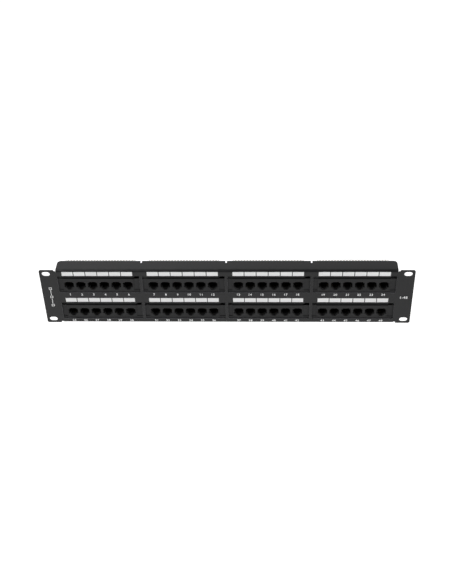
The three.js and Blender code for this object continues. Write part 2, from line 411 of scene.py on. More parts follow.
class Wire:
    """A node socket that can be added, multiplied and compared in an expression."""

    def __init__(self, finish, socket):
        self.finish = finish
        self.socket = socket

    def _math(self, operation, first, second):
        return self.finish.node("ShaderNodeMath", {"operation": operation}, {0: first, 1: second})

    def __add__(self, other):
        return self._math("ADD", self, other)

    __radd__ = __add__

    def __sub__(self, other):
        return self._math("SUBTRACT", self, other)

    def __rsub__(self, other):
        return self._math("SUBTRACT", other, self)

    def __mul__(self, other):
        return self._math("MULTIPLY", self, other)

    __rmul__ = __mul__

    def __gt__(self, other):
        return self._math("GREATER_THAN", self, other)

    def __lt__(self, other):
        return self._math("LESS_THAN", self, other)

    def wrap(self, span):
        """What is left over after whole spans are taken away."""
        return self._math("FLOORED_MODULO", self, span)

    def size(self):
        """The value without its sign."""
        return self._math("ABSOLUTE", self, 0)


class Nodes:
    """The nodes of one material or of the room."""

    def __init__(self, owner, coordinate):
        owner.use_nodes = True
        self.tree = owner.node_tree
        self.place = self.node("ShaderNodeTexCoord", {}, {}, coordinate)

    def node(self, kind, settings, inputs, output=0):
        """Adds a node of a type, sets it, then fills or links its sockets."""
        node = self.tree.nodes.new(kind)
        for name, value in settings.items():
            setattr(node, name, value)
        for name, value in inputs.items():
            if isinstance(value, Wire):
                self.tree.links.new(value.socket, node.inputs[name])
            else:
                node.inputs[name].default_value = value
        return Wire(self, node.outputs[output])

    def span(self, mask, low, high, to_low, to_high):
        """A mask's range taken to another range, and held at its ends."""
        inputs = {"Value": mask, "From Min": low, "From Max": high, "To Min": to_low, "To Max": to_high}
        return self.node("ShaderNodeMapRange", {}, inputs)

    def vary(self, noise, low, high):
        """A noise's usual range taken to another range."""
        return self.span(noise, 0.3, 0.7, low, high)

    def axis(self, name):
        """One coordinate of the place."""
        return self.node("ShaderNodeSeparateXYZ", {}, {0: self.place}, name)


class Finish(Nodes):
    """One procedural material on Object coordinates."""

    def __init__(self, name, **constants):
        self.material = bpy.data.materials.new(name)
        super().__init__(self.material, "Object")
        self.shader = self.tree.nodes["Principled BSDF"]
        for socket, value in constants.items():
            self.shader.inputs[socket.replace("_", " ")].default_value = value

    def noise(self, grain, detail=2.0, roughness=0.5, stretch=None):
        """Noise whose features are about one grain across, in metres."""
        where = self.place
        if stretch:
            inputs = {"Vector": where, "Scale": stretch}
            where = self.node("ShaderNodeMapping", {"vector_type": "POINT"}, inputs)
        inputs = {"Vector": where, "Scale": 1 / grain, "Detail": detail, "Roughness": roughness}
        return self.node("ShaderNodeTexNoise", {}, inputs)

    def cells(self, grain):
        """Distance to scattered points about one grain apart."""
        return self.node("ShaderNodeTexVoronoi", {}, {"Vector": self.place, "Scale": 1 / grain})

    def mix(self, mask, first, second):
        """One colour or another, by a mask."""
        first, second = (end if isinstance(end, Wire) else (*end, 1) for end in (first, second))
        inputs = {MIX_MASK: mask, MIX_FIRST: first, MIX_SECOND: second}
        return self.node("ShaderNodeMix", {"data_type": "RGBA"}, inputs, MIX_RESULT)

    def colour(self, wire):
        self.tree.links.new(wire.socket, self.shader.inputs["Base Color"])

    def rough(self, wire):
        self.tree.links.new(wire.socket, self.shader.inputs["Roughness"])

    def bump(self, height, depth, strength=1.0):
        """Relief of a given depth in metres."""
        inputs = {"Height": height, "Distance": depth, "Strength": strength}
        relief = self.node("ShaderNodeBump", {}, inputs, "Normal")
        self.tree.links.new(relief.socket, self.shader.inputs["Normal"])


def scaled(colour, factor):
    return tuple(min(1, channel * factor) for channel in colour)


def powder_coat(name, colour, gloss):
    """Fine-texture satin powder coat: a tight orange peel, broad sheen changes and a few dust specks."""
    finish = Finish(name, Specular_IOR_Level=gloss)
    broad = finish.noise(mm(38), 3, 0.6)
    peel = finish.noise(mm(0.55), 3, 0.55)
    dust = finish.cells(mm(3.1))
    cloud = finish.mix(finish.vary(broad, 0, 1), scaled(colour, 0.86), scaled(colour, 1.16))
    speck = finish.span(dust, 0.05, 0.075, 0.5, 0)
    finish.colour(finish.mix(speck, cloud, scaled(colour, 3.5)))
    finish.rough(finish.vary(broad, 0.37, 0.44) + peel * 0.05)
    finish.bump(peel, mm(0.035), 0.7)
    return finish.material


def moulded(name, colour, grain, rough_low, rough_high, depth=mm(0.012)):
    """Moulded plastic with the spark texture of its tool and faint flow marks."""
    finish = Finish(name, Specular_IOR_Level=0.3)
    flow = finish.noise(mm(14), 2, 0.5, (0.35, 1, 1.6))
    spark = finish.noise(grain, 4, 0.65)
    finish.colour(finish.mix(finish.vary(flow, 0, 1), scaled(colour, 0.9), scaled(colour, 1.1)))
    finish.rough(finish.vary(flow, rough_low, rough_high) + spark * 0.08)
    finish.bump(spark, depth, 0.6)
    return finish.material


def plated(name, light, dark, rough_low, rough_high):
    """Plated metal with a fine crystalline bloom and faint drawing marks."""
    finish = Finish(name, Metallic=1.0)
    bloom = finish.noise(mm(0.9), 4, 0.6)
    drawn = finish.noise(mm(0.22), 2, 0.5, (1, 0.12, 1))
    finish.colour(finish.mix(finish.vary(bloom, 0, 1), dark, light))
    finish.rough(finish.vary(bloom, rough_low, rough_high) + drawn * 0.05)
    finish.bump(drawn, mm(0.004), 0.5)
    return finish.material


def solder_mask(colours):
    """Glossy green mask over copper tracks, which stand up a little and show lighter."""
    finish = Finish("solder_mask", Specular_IOR_Level=0.5, Coat_Weight=0.35, Coat_Roughness=0.12)
    track_pitch = mm(1.9)
    drift = finish.noise(mm(9), 1, 0.4)
    across = finish.axis("X") + drift * mm(5)
    track = finish.span((across.wrap(track_pitch) - track_pitch / 2).size(), mm(0.22), mm(0.3), 1, 0)
    weave = finish.noise(mm(0.7), 2, 0.5)
    base = finish.mix(track * 0.7, colours.board, scaled(colours.board, 1.9))
    finish.colour(finish.mix(finish.span(weave, 0.35, 0.65, 0, 0.35), base, scaled(colours.board, 0.7)))
    finish.rough(finish.vary(weave, 0.24, 0.34))
    finish.bump(track + weave * 0.2, mm(0.03), 0.8)
    return finish.material


def paper(name, colour):
    """Coated writing paper with a soft tooth."""
    finish = Finish(name, Specular_IOR_Level=0.35)
    tooth = finish.noise(mm(0.35), 4, 0.6)
    tone = finish.noise(mm(22), 2, 0.5)
    finish.colour(finish.mix(finish.vary(tone, 0, 1), scaled(colour, 0.975), scaled(colour, 1.02)))
    finish.rough(finish.vary(tooth, 0.55, 0.7))
    finish.bump(tooth, mm(0.008), 0.5)
    return finish.material


def ink(colours):
    """Pad-printed white ink, thinner in places, with a dry edge to its sheen."""
    finish = Finish("print_white", Specular_IOR_Level=0.4)
    cover = finish.noise(mm(0.5), 3, 0.6)
    finish.colour(finish.mix(finish.span(cover, 0.3, 0.62, 0, 1), scaled(colours.ink, 0.86), colours.ink[:]))
    finish.rough(finish.vary(cover, 0.45, 0.6))
    finish.bump(cover, mm(0.01), 0.4)
    return finish.material


def pair_colours(colours):
    """The wiring colour code as plain bands: each pair's colour beside its white partner."""
    finish = Finish("pair_colours", Specular_IOR_Level=0.4)
    place = (finish.axis("X") - (HOME.x + BLOCK_LOW.x)).wrap(SOCKET_PITCH)
    step = SOCKET_PITCH / 8
    pairs = [(0.02, 0.09, 0.5), (0.75, 0.22, 0.02), (0.02, 0.28, 0.07), (0.16, 0.055, 0.02)]
    tone = colours.paper[:]
    for index, pair in enumerate(pairs):
        first = (place > (2 * index + 1) * step) * (place < (2 * index + 2) * step)
        tone = finish.mix(first, tone, pair)
    tooth = finish.noise(mm(0.4), 3, 0.5)
    finish.colour(tone)
    finish.rough(finish.vary(tooth, 0.45, 0.6))
    finish.bump(tooth, mm(0.006), 0.4)
    return finish.material


def floor_finish(colours):
    """Matt paper sweep with very faint tone changes, lit a little less in front on the right."""
    finish = Finish("studio_floor", Specular_IOR_Level=0.2, Emission_Strength=0.75)
    tone = finish.noise(0.8, 2, 0.5)
    pale = finish.mix(finish.vary(tone, 0, 1), scaled(colours.floor, 0.985), colours.floor[:])
    finish.colour(pale)
    ahead = finish.span(finish.axis("Y"), -0.1, -0.5, 0, 1)
    to_right = finish.span(finish.axis("X"), -0.4, 0.5, 0, 1)
    glow = finish.mix(ahead * to_right, (1, 1, 1), (0.62, 0.62, 0.62))
    finish.tree.links.new(glow.socket, finish.shader.inputs["Emission Color"])
    finish.rough(finish.vary(tone, 0.85, 0.95))
    finish.bump(finish.noise(0.002, 2, 0.5), 0.0001, 0.2)
    return finish.material


# ---- the folded steel front ----
FOLD_HALF_WIDTH = mm(219.7)
RELIEF_EDGE = mm(222.5)
RELIEF_FLOOR = HALF_HEIGHT - mm(2.1)
RELIEF_R = mm(1.5)
RELIEF_SLIT = mm(0.4)  # between the relief and the fold
EAR_CORNER_R = mm(3)
FLANGE_CORNER_R = mm(5)
WINDOW_CORNER_R = mm(0.4)
NOTCH_HALF_WIDTH = mm(1)
NOTCH_DEPTH = mm(4.3)
NOTCH_CORNER_R = mm(0.35)
SLOT_X = mm(232.55)
SLOT_Z = mm(38.1)
SLOT_END_PLAY = mm(0.02)  # keeps the two rounds at a slot's end from meeting in one point
PUNCH_REACH = mm(3)
FOLD_ZONE = mm(3)  # near the folds the cut edges keep the plain coat, without the painted highlight


def sheet_blank(sizes):
    """The bent blank as a surface, then given its thickness to the rear."""
    bends = {-1: sizes.lower_bend, 1: sizes.bend}
    middle = (sizes.lower_bend - sizes.bend) / 2
    height = 2 * HALF_HEIGHT - sizes.bend - sizes.lower_bend
    sheet = sheet_of((0, STEEL_FRONT, middle), 2 * HALF_WIDTH, height, math.pi / 2)
    with editing(sheet, "EDGE"):
        for side in (-1, 1):
            for cut in (FOLD_HALF_WIDTH, FOLD_HALF_WIDTH + RELIEF_SLIT, RELIEF_EDGE):
                bisect_all(X, side * cut)
        for side, bend in bends.items():
            flat = HALF_HEIGHT - bend
            pick("edges", lambda at, way: near(at.z, side * flat) and abs(at.x) < FOLD_HALF_WIDTH)
            centre = (0, STEEL_FRONT + bend, side * flat)
            bpy.ops.mesh.spin(steps=8, angle=side * math.pi / 2, center=centre, axis=(1, 0, 0))
            extrude((0, FLANGE_REAR - STEEL_FRONT - bend, 0), "edges")
            relief = (FOLD_HALF_WIDTH + RELIEF_SLIT, flat, RELIEF_FLOOR)
            ear = (RELIEF_EDGE, RELIEF_FLOOR, HALF_HEIGHT)
            for inner, low, high in (relief, ear):
                in_front = lambda at: near(at.y, STEEL_FRONT) and near(at.z, side * low)
                pick("edges", lambda at, way: in_front(at) and abs(at.x) > inner)
                extrude((0, 0, side * (high - low)), "edges")
        bpy.ops.mesh.select_all(action="SELECT")
        bpy.ops.mesh.remove_doubles(threshold=1e-6)
    modify(sheet, "SOLIDIFY", thickness=sizes.thickness, offset=-1, use_even_offset=True, use_rim=True)
    round_edges(sheet, edges_at(Y, x=RELIEF_EDGE, z=RELIEF_FLOOR), RELIEF_R, 5)
    round_edges(sheet, edges_at(Y, x=HALF_WIDTH, z=HALF_HEIGHT), EAR_CORNER_R, 7)
    round_edges(sheet, edges_at(Z, x=FOLD_HALF_WIDTH, y=FLANGE_REAR), FLANGE_CORNER_R, 9)
    return sheet


def punch(middle, width, height, radius, segments):
    """A punch along Y with round corners, about a place on the front."""
    half = Vector((width / 2, PUNCH_REACH, height / 2))
    return round_edges(box(middle - half, middle + half), edges_at(Y), radius, segments)


def sheet_tools(sizes):
    """Punches for the windows, the rack slots and the notches in the flanges' rear edges."""
    tools = [
        punch(place, sizes.window_width, sizes.window_height, WINDOW_CORNER_R, 3)
        for place in MODULE_PLACES.values()
    ]
    end_r = sizes.slot_width / 2 - SLOT_END_PLAY
    for x in (-SLOT_X, SLOT_X):
        for z in (-SLOT_Z, SLOT_Z):
            tools.append(punch(Vector((x, 0, z)), sizes.slot_length, sizes.slot_width, end_r, 8))
    columns = sorted({round(place.x, 6) for place in MODULE_PLACES.values()})
    for left, right in zip(columns, columns[1:]):
        x = (left + right) / 2
        low = (x - NOTCH_HALF_WIDTH, FLANGE_REAR - NOTCH_DEPTH, -2 * HALF_HEIGHT)
        high = (x + NOTCH_HALF_WIDTH, FLANGE_REAR + PUNCH_REACH, 2 * HALF_HEIGHT)
        tools.append(round_edges(box(low, high), edges_at(Z), NOTCH_CORNER_R, 3))
    return tools


def mark_cut_edges(sheet):
    """Gives the sheet's cut edges, where the coat pulls thin, their own finish."""
    for face in sheet.data.polygons:
        in_wall = STEEL_FRONT < face.center.y < EAR_REAR and abs(face.normal.y) < 0.1
        at_flange_end = near(face.center.y, FLANGE_REAR) and face.normal.y > 0.5
        rim = in_wall and abs(face.center.z) < HALF_HEIGHT - FOLD_ZONE
        face.material_index = 1 if rim or at_flange_end else 0


def stud():
    """One threaded weld stud with its weld flange, about a module's centre."""
    sizes = bpy.context.scene.patch_panel_modules
    root_r, crest_r, flange_r = mm(1.22), mm(1.4), mm(1.66)
    pitch = mm(0.5)
    foot, flange_end, tip = mm(0.02, 0.26, 19.1)
    smooth_end = tip - mm(0.35) - sizes.thread_turns * pitch
    bpy.ops.object.select_all(action="DESELECT")
    bpy.ops.mesh.primitive_circle_add(
        vertices=12, radius=flange_r, fill_type="NGON", location=(STUD_X, foot, STUD_Z),
        rotation=(math.pi / 2, 0, 0),
    )
    piece = applied(bpy.context.object)
    profile = [(flange_r, flange_end), (crest_r, flange_end), (crest_r, smooth_end)]
    for turn in range(sizes.thread_turns):
        y = smooth_end + turn * pitch
        profile += [(root_r, y + pitch * 0.4), (crest_r, y + pitch)]
    profile.append((root_r * 0.86, tip))
    with editing(piece, "FACE"):
        bpy.ops.mesh.select_all(action="SELECT")
        radius, y = flange_r, foot
        for next_radius, next_y in profile:
            extrude((0, next_y - y, 0))
            ratio = next_radius / radius
            bpy.ops.transform.resize(value=(ratio, 1, ratio), center_override=(STUD_X, next_y, STUD_Z))
            radius, y = next_radius, next_y
        face_outwards()
    return smooth(piece, 35)


# ---- a module of six sockets, drawn about its window's centre ----
BORDER_FRONT = mm(0.3)
BORDER_REAR = mm(2.8)
BLOCK_REAR = mm(12.1)
LATCH_Y = mm(2)  # rear of the catch that holds a plug's latch
TONGUE_LOW = mm(1.75)  # underside of the tongue in each contact window
BLOCK_TOP = mm(8.4)
BLOCK_BOTTOM = mm(-10.6)
BLOCK_HALF_WIDTH = mm(46.2)
TROUGH_REAR = mm(1.1)  # a shallow trough above the block, as wide as the window
TROUGH_TOP = BLOCK_TOP + mm(5.9)
TROUGH_HALF_WIDTH = mm(53.6)
TROUGH_WALL = mm(1.6)
SILL_FRONT = mm(-0.35)  # the border comes forward below the block, inside the window
SILL_BOTTOM = mm(-13.45)
SILL_HALF_WIDTH = mm(52.9)
LEAD_IN = mm(0.45)  # wider, higher step round each socket's mouth
LEAD_IN_DEPTH = mm(0.7)
LATCH_HALF_WIDTH = mm(3.7)  # the space behind the catch
LATCH_BOTTOM = mm(-8.9)
LATCH_TOP = mm(-6.5)
BOSS_R = mm(3)
BOSS_FRONT = mm(1.5)
BORE_R = mm(1.75)
SOCKET_TOP = mm(3)
SOCKET_STEPS = [mm(4.25, 1.5), mm(6, 6.6), mm(3.7, 1.95), mm(2.1, 1.95)]  # half width and height of each step
OVERLAP = mm(0.3)  # how far joined solids run into each other
PAST = mm(1)  # how far a cutting tool runs past the surface that it cuts
PLATE = mm(1.8)  # thickness of the carrier's plate
TONGUE_HALF_WIDTH = mm(4)
TONGUE_THICKNESS = mm(1)
TONGUE_ROOT = mm(0.9)  # how far a tongue runs into the plate
GROOVE_PLAY = mm(0.06)  # on each side of a spring
GROOVE_DEPTH = mm(0.42)
GROOVE_END = mm(0.6)  # short of the plate
SPRING_THICKNESS = mm(0.22)
SPRING_IN_GROOVE = mm(0.12)  # from the tongue's underside up to a spring's middle
SPRING_PATH = [  # across the depth and up, from the plate round the front and down into the plug's space
    mm(12.6, 0), mm(3.1, 0), mm(2.72, -0.16), mm(2.62, -0.5), mm(2.85, -0.82), mm(7.2, -3.1), mm(9.6, -3.5),
]


def socket_middle(index):
    return ROW_MIDDLE + (index - (SOCKETS - 1) / 2) * SOCKET_PITCH


def socket_outline(x, grown=0.0):
    """Contact window on top, plug body, and two steps for the latch below, grown all round by a margin."""
    right = []
    z = SOCKET_TOP
    wider_before = 0
    for index, (half, height) in enumerate(SOCKET_STEPS):
        wider_after = SOCKET_STEPS[index + 1][0] if index + 1 < len(SOCKET_STEPS) else 0
        top = z + (grown if half > wider_before else -grown)
        bottom = z - height + (-grown if half > wider_after else grown)
        right += [(half + grown, top), (half + grown, bottom)]
        wider_before = half
        z -= height
    return [(x - half, z) for half, z in reversed(right)] + [(x + half, z) for half, z in right]


def fixing_bores(front, rear, sides):
    """The two holes for a module's studs."""
    return [
        bar(BORE_R, (x, front - PAST, STUD_Z), (x, rear + PAST, STUD_Z), sides) for x in (-STUD_X, STUD_X)
    ]


def housing():
    """The moulded housing: a border behind the steel, a raised block with six sockets, and two bosses."""
    sizes = bpy.context.scene.patch_panel_modules
    piece = box((HOUSING_LOW.x, BORDER_FRONT, HOUSING_LOW.z), (HOUSING_HIGH.x, BORDER_REAR, HOUSING_HIGH.z))
    left, right = ROW_MIDDLE - BLOCK_HALF_WIDTH, ROW_MIDDLE + BLOCK_HALF_WIDTH
    in_block = lambda at: left < at.x < right and BLOCK_BOTTOM < at.z < BLOCK_TOP
    with editing(piece, "FACE"):
        for axis, value in ((X, left), (X, right), (Z, BLOCK_BOTTOM), (Z, BLOCK_TOP)):
            bisect_all(axis, value)
        for side, depth in ((-1, HOUSING_LOW.y - BORDER_FRONT), (1, BLOCK_REAR - BORDER_REAR)):
            pick("faces", lambda at, normal: normal.y * side > 0.9 and in_block(at))
            extrude((0, depth, 0))
    bosses = [
        bar(BOSS_R, (x, BOSS_FRONT, STUD_Z), (x, HOUSING_HIGH.y, STUD_Z), 20) for x in (-STUD_X, STUD_X)
    ]
    backing_half = TROUGH_HALF_WIDTH + TROUGH_WALL
    backing = box(
        (-backing_half, BORDER_REAR - OVERLAP, BLOCK_TOP - OVERLAP),
        (backing_half, TROUGH_REAR + TROUGH_WALL, TROUGH_TOP + TROUGH_WALL),
    )
    sill = box(
        (-SILL_HALF_WIDTH, SILL_FRONT, SILL_BOTTOM),
        (SILL_HALF_WIDTH, BORDER_FRONT + OVERLAP, BLOCK_BOTTOM + OVERLAP),
    )
    for added in (bosses, [backing], [sill]):
        combine(piece, added, "UNION")
    trough = box(
        (-TROUGH_HALF_WIDTH, BORDER_FRONT - PAST, BLOCK_TOP), (TROUGH_HALF_WIDTH, TROUGH_REAR, TROUGH_TOP)
    )
    x = socket_middle(0)
    front = HOUSING_LOW.y - PAST
    sockets = prism(socket_outline(x), front, BLOCK_REAR + PAST)
    mouth = prism(socket_outline(x, LEAD_IN), front, HOUSING_LOW.y + LEAD_IN_DEPTH)
    bores = fixing_bores(BORDER_FRONT, HOUSING_HIGH.y, 20)
    catch = box(
        (x - LATCH_HALF_WIDTH, LATCH_Y, LATCH_BOTTOM), (x + LATCH_HALF_WIDTH, BLOCK_REAR + PAST, LATCH_TOP)
    )
    rows = [repeat(tool, SOCKETS, SOCKET_PITCH) for tool in (sockets, mouth, catch)]
    combine(piece, [rows[0], trough, *bores], "DIFFERENCE")
    combine(piece, [rows[1]], "DIFFERENCE")
    combine(piece, [rows[2]], "DIFFERENCE")
    return soften(piece, sizes.plastic_edge)


def first_spring_x(sizes):
    """The middle of the first spring in the first socket."""
    return socket_middle(0) - (CONTACTS - 1) / 2 * sizes.spring_pitch


def carrier():
    """The plate behind the sockets with a comb of eight grooves on each of its tongues."""
    sizes = bpy.context.scene.patch_panel_modules
    back = CARRIER_HIGH.y - PLATE
    piece = box((CARRIER_LOW.x, back, CARRIER_LOW.z), CARRIER_HIGH)
    middle = socket_middle(0)
    tongue = box(
        (middle - TONGUE_HALF_WIDTH, CARRIER_LOW.y, TONGUE_LOW),
        (middle + TONGUE_HALF_WIDTH, back + TONGUE_ROOT, TONGUE_LOW + TONGUE_THICKNESS),
    )
    combine(piece, [repeat(tongue, SOCKETS, SOCKET_PITCH)], "UNION")
    half = sizes.spring_width / 2 + GROOVE_PLAY
    x = first_spring_x(sizes)
    groove = box(
        (x - half, CARRIER_LOW.y - PAST, TONGUE_LOW - PAST),
        (x + half, back - GROOVE_END, TONGUE_LOW + GROOVE_DEPTH),
    )
    repeat(groove, CONTACTS, sizes.spring_pitch)
    combine(piece, [repeat(groove, SOCKETS, SOCKET_PITCH)], "DIFFERENCE")
    return soften(piece, mm(0.06), 1)


def springs():
    """Forty-eight contact springs: each leaves the comb, turns at the front and slopes down to the rear."""
    sizes = bpy.context.scene.patch_panel_modules
    back, front = SPRING_PATH[0][0], SPRING_PATH[1][0]
    middle = (first_spring_x(sizes), (back + front) / 2, TONGUE_LOW + SPRING_IN_GROOVE)
    piece = sheet_of(middle, sizes.spring_width, back - front)
    with editing(piece, "EDGE"):
        pick("edges", lambda at, way: near(at.y, front) and abs(way.x) > 0.9)
        for (y, z), (next_y, next_z) in zip(SPRING_PATH[1:], SPRING_PATH[2:]):
            extrude((0, next_y - y, next_z - z), "edges")
        face_outwards()
    modify(piece, "SOLIDIFY", thickness=SPRING_THICKNESS, offset=0, use_even_offset=True)
    repeat(piece, CONTACTS, sizes.spring_pitch)
    repeat(piece, SOCKETS, SOCKET_PITCH)
    return smooth(piece, 50)


def board():
    """The circuit board, with round corners and two plated fixing holes."""
    piece = round_edges(box(BOARD_LOW, BOARD_HIGH), edges_at(Y), mm(1), 4)
    combine(piece, fixing_bores(BOARD_LOW.y, BOARD_HIGH.y, 24), "DIFFERENCE")
    return soften(piece, mm(0.08), 1)


LAND_R = mm(3.1)
LAND_HEIGHT = mm(0.05)
SUNK = mm(0.02)  # how far what lies on the board runs into it
JOINT_R = mm(0.62)
JOINT_GAPS = mm(1.15, 1.05)  # from the wire block's upper and lower edges to the rows of joints
TOWER_INSET = mm(0.2)  # from the base's edge to a row of towers
TOWER_ROW = mm(12.6)  # across a row
SLOT_FLOOR = BLOCK_HIGH.y - mm(7.5)
BASE_REAR = BLOCK_LOW.y + mm(2.5)
SLOT_MOUTH = BLOCK_HIGH.y - mm(1.9)  # where a wire slot starts to flare
FLARE = mm(1.3)  # half width at the tip
TOWER_CHAMFER = mm(1.1)
BLADE_HALF_THICKNESS = mm(0.25)


def first_wire_x():
    """The middle of the first wire slot."""
    return ROW_MIDDLE - (PAIR_WIRES - 1) / 2 * WIRE_PITCH


def board_metal():
    """The tinned lands round the fixing holes and a row of tinned joints along each long edge."""
    face = BOARD_HIGH.y
    lands = []
    for x in (-STUD_X, STUD_X):
        land = bar(LAND_R, (x, face - SUNK, STUD_Z), (x, face + LAND_HEIGHT, STUD_Z), 24)
        hole = bar(BORE_R - SUNK, (x, face - PAST, STUD_Z), (x, face + PAST, STUD_Z), 24)
        lands.append(combine(land, [hole], "DIFFERENCE"))
    upper_gap, lower_gap = JOINT_GAPS
    for z in (BLOCK_HIGH.z + upper_gap, BLOCK_LOW.z - lower_gap):
        bpy.ops.object.select_all(action="DESELECT")
        bpy.ops.mesh.primitive_uv_sphere_add(
            segments=8, ring_count=4, radius=JOINT_R, location=(first_wire_x(), face, z),
            rotation=(math.pi / 2, 0, 0), scale=(1, 1, 0.5),
        )
        joint = applied(bpy.context.object)
        with editing(joint, "FACE"):
            bpy.ops.mesh.select_all(action="SELECT")
            bpy.ops.mesh.bisect(
                plane_co=(0, face - SUNK / 2, 0), plane_no=(0, 1, 0), clear_inner=True, use_fill=True,
                threshold=1e-6,
            )
        lands.append(repeat(joint, PAIR_WIRES, WIRE_PITCH))
    return smooth(together(lands), 40)


def wire_block():
    """Two rows of towers on a base, with a slot for every wire that flares at its mouth."""
    sizes = bpy.context.scene.patch_panel_modules
    piece = box(BLOCK_LOW, (BLOCK_HIGH.x, BASE_REAR, BLOCK_HIGH.z))
    bottom, top = BLOCK_LOW.z + TOWER_INSET, BLOCK_HIGH.z - TOWER_INSET
    rows = ((bottom, bottom + TOWER_ROW), (top - TOWER_ROW, top))
    with editing(piece, "FACE"):
        for z in rows[0] + rows[1]:
            bisect_all(Z, z)
        for low, high in rows:
            pick("faces", lambda at, normal: normal.y > 0.9 and low < at.z < high and near(at.y, BASE_REAR))
            extrude((0, BLOCK_HIGH.y - BASE_REAR, 0))
    half = sizes.wire_slot / 2
    x = first_wire_x()
    tip = BLOCK_HIGH.y + mm(0.1)
    points = [(-half, SLOT_FLOOR), (-half, SLOT_MOUTH), (-FLARE, tip), (-FLARE, BLOCK_HIGH.y + PAST)]
    outline = [(x + px, py) for px, py in points] + [(x - px, py) for px, py in reversed(points)]
    slot = prism(outline, BLOCK_LOW.z - PAST, BLOCK_HIGH.z + PAST, upright=True)
    combine(piece, [repeat(slot, PAIR_WIRES, WIRE_PITCH)], "DIFFERENCE")
    round_edges(piece, edges_at(X, z=top, y=BLOCK_HIGH.y), TOWER_CHAMFER, 1)
    return soften(piece, mm(0.1), 1)


def blades():
    """Forty-eight forked blades, one across every wire slot, their tines showing inside it."""
    x = first_wire_x()
    arm_out, arm_in, lead = mm(0.85, 0.19, 0.16)
    low, crotch, tip = (SLOT_FLOOR + rise for rise in mm(-0.6, 1.2, 4.9))
    shoulder = tip - mm(0.7)
    half = [(arm_out, low), (arm_out, tip), (arm_in + lead, tip), (arm_in, shoulder), (arm_in, crotch)]
    outline = [(x + px, py) for px, py in half] + [(x - px, py) for px, py in reversed(half)]
    rows = []
    for side in (-1, 1):
        middle = side * (BLOCK_HIGH.z - TOWER_INSET - TOWER_ROW / 2)
        low_z, high_z = middle - BLADE_HALF_THICKNESS, middle + BLADE_HALF_THICKNESS
        rows.append(repeat(prism(outline, low_z, high_z, upright=True), PAIR_WIRES, WIRE_PITCH))
    return together(rows)


def colour_strip():
    """The printed strip with the wiring colour code, lying in the channel between the two rows of towers."""
    end_gap, half = mm(0.6, 1.7)
    under, upper = mm(0.02, 0.2)
    low = (BLOCK_LOW.x + end_gap, BASE_REAR + under, -half)
    high = (BLOCK_HIGH.x - end_gap, BASE_REAR + upper, half)
    strip = round_edges(box(low, high), edges_at(Y), mm(0.5), 3)
    return soften(strip, mm(0.03), 1)


def nut():
    """An M3 nut with chamfered corners and a threaded bore, at the right stud of a module."""
    height = NUT_HIGH.y - NUT_LOW.y
    centre = Vector((STUD_X, 0, STUD_Z))
    corner_r = (NUT_HIGH.x - NUT_LOW.x) / 2
    flat_r = (NUT_HIGH.z - NUT_LOW.z) / 2
    corner_r, flat_r = max(corner_r, flat_r), min(corner_r, flat_r)
    low = centre + Vector((0, NUT_LOW.y, 0))
    high = centre + Vector((0, NUT_HIGH.y, 0))
    body = bar(corner_r, low, high, 6, math.pi / 6 if NUT_HIGH.x - NUT_LOW.x < NUT_HIGH.z - NUT_LOW.z else 0)
    cone = bar(corner_r * 1.04, low, high, 32)
    with editing(cone, "EDGE"):
        pick("edges", lambda at, way: abs(way.y) < 0.5 and (near(at.y, low.y) or near(at.y, high.y)))
        bpy.ops.mesh.bevel(offset=corner_r * 1.04 - flat_r * 0.97, segments=1, affect="EDGES")
    modify(body, "BOOLEAN", object=cone, operation="INTERSECT", solver="EXACT")
    bpy.data.objects.remove(cone)
    past = Vector((0, PAST, 0))
    bore = bar(mm(1.45), low - past, high + past, 20)
    combine(body, [bore], "DIFFERENCE")
    return soften(body, mm(0.07), 1, 25)


def label_strip(number):
    """One strip: a thin dark carrier with six white writing fields on it."""
    sizes = bpy.context.scene.patch_panel_marks
    low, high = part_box(f"label_strip_{number}")
    film_front = high.y - mm(0.09)
    film = box((low.x, film_front, low.z), high)
    left = (low.x + high.x) / 2 - SOCKETS / 2 * SOCKET_PITCH + sizes.field_gap / 2
    field = box((left, low.y, low.z), (left + SOCKET_PITCH - sizes.field_gap, film_front, high.z))
    round_edges(field, edges_at(Y), mm(0.25), 2)
    soften(field, mm(0.04), 1)
    return film, repeat(field, SOCKETS, SOCKET_PITCH)


# ---- printing ----
INK_DEPTH = mm(0.03)
INK_Y = STEEL_FRONT - INK_DEPTH
INK_REAR = STEEL_FRONT - mm(0.004)
NUMBER_DROP = mm(16.7)  # socket numbers below a window's middle
HALF_EXTRUDE = 0.004  # half the depth of a character before it is scaled
BOLDER = 0.028  # how far a character's outline is grown
EAR_MARK_INSET = mm(2.6)  # from the screw slots' middle towards the windows
BOX_HALF, BOX_HOLE, BOX_STEP = mm(1.9, 1.15, 14)  # the pictogram's boxes and the distance between them
LINK_HALF_WIDTH, LINK_HALF_HEIGHT = mm(0.42, 4.1)


def printed(text, height, at, turn=0.0, tight=1.0):
    """Plain characters as a thin film of ink on the front face, centred on a place."""
    bpy.ops.object.select_all(action="DESELECT")
    bpy.ops.object.text_add()
    words = bpy.context.object
    words.data.body = text
    words.data.align_x = "CENTER"
    words.data.align_y = "CENTER"
    words.data.resolution_u = 3
    words.data.extrude = HALF_EXTRUDE
    words.data.offset = BOLDER
    words.data.space_character = tight
    bpy.ops.object.convert(target="MESH")
    words = bpy.context.object
    with editing(words, "VERT"):
        bpy.ops.mesh.select_all(action="SELECT")
        bpy.ops.mesh.remove_doubles(threshold=1e-5)
    size = words.dimensions.y
    low = min(vert.co.y for vert in words.data.vertices)
    left = min(vert.co.x for vert in words.data.vertices)
    words.data.transform(Matrix.Translation((-left - words.dimensions.x / 2, -low - size / 2, 0)))
    scale = height / size
    words.scale = (scale, scale, INK_DEPTH / (2 * HALF_EXTRUDE))
    words.rotation_euler = (math.pi / 2, turn, 0)
    words.location = at
    return applied(words)


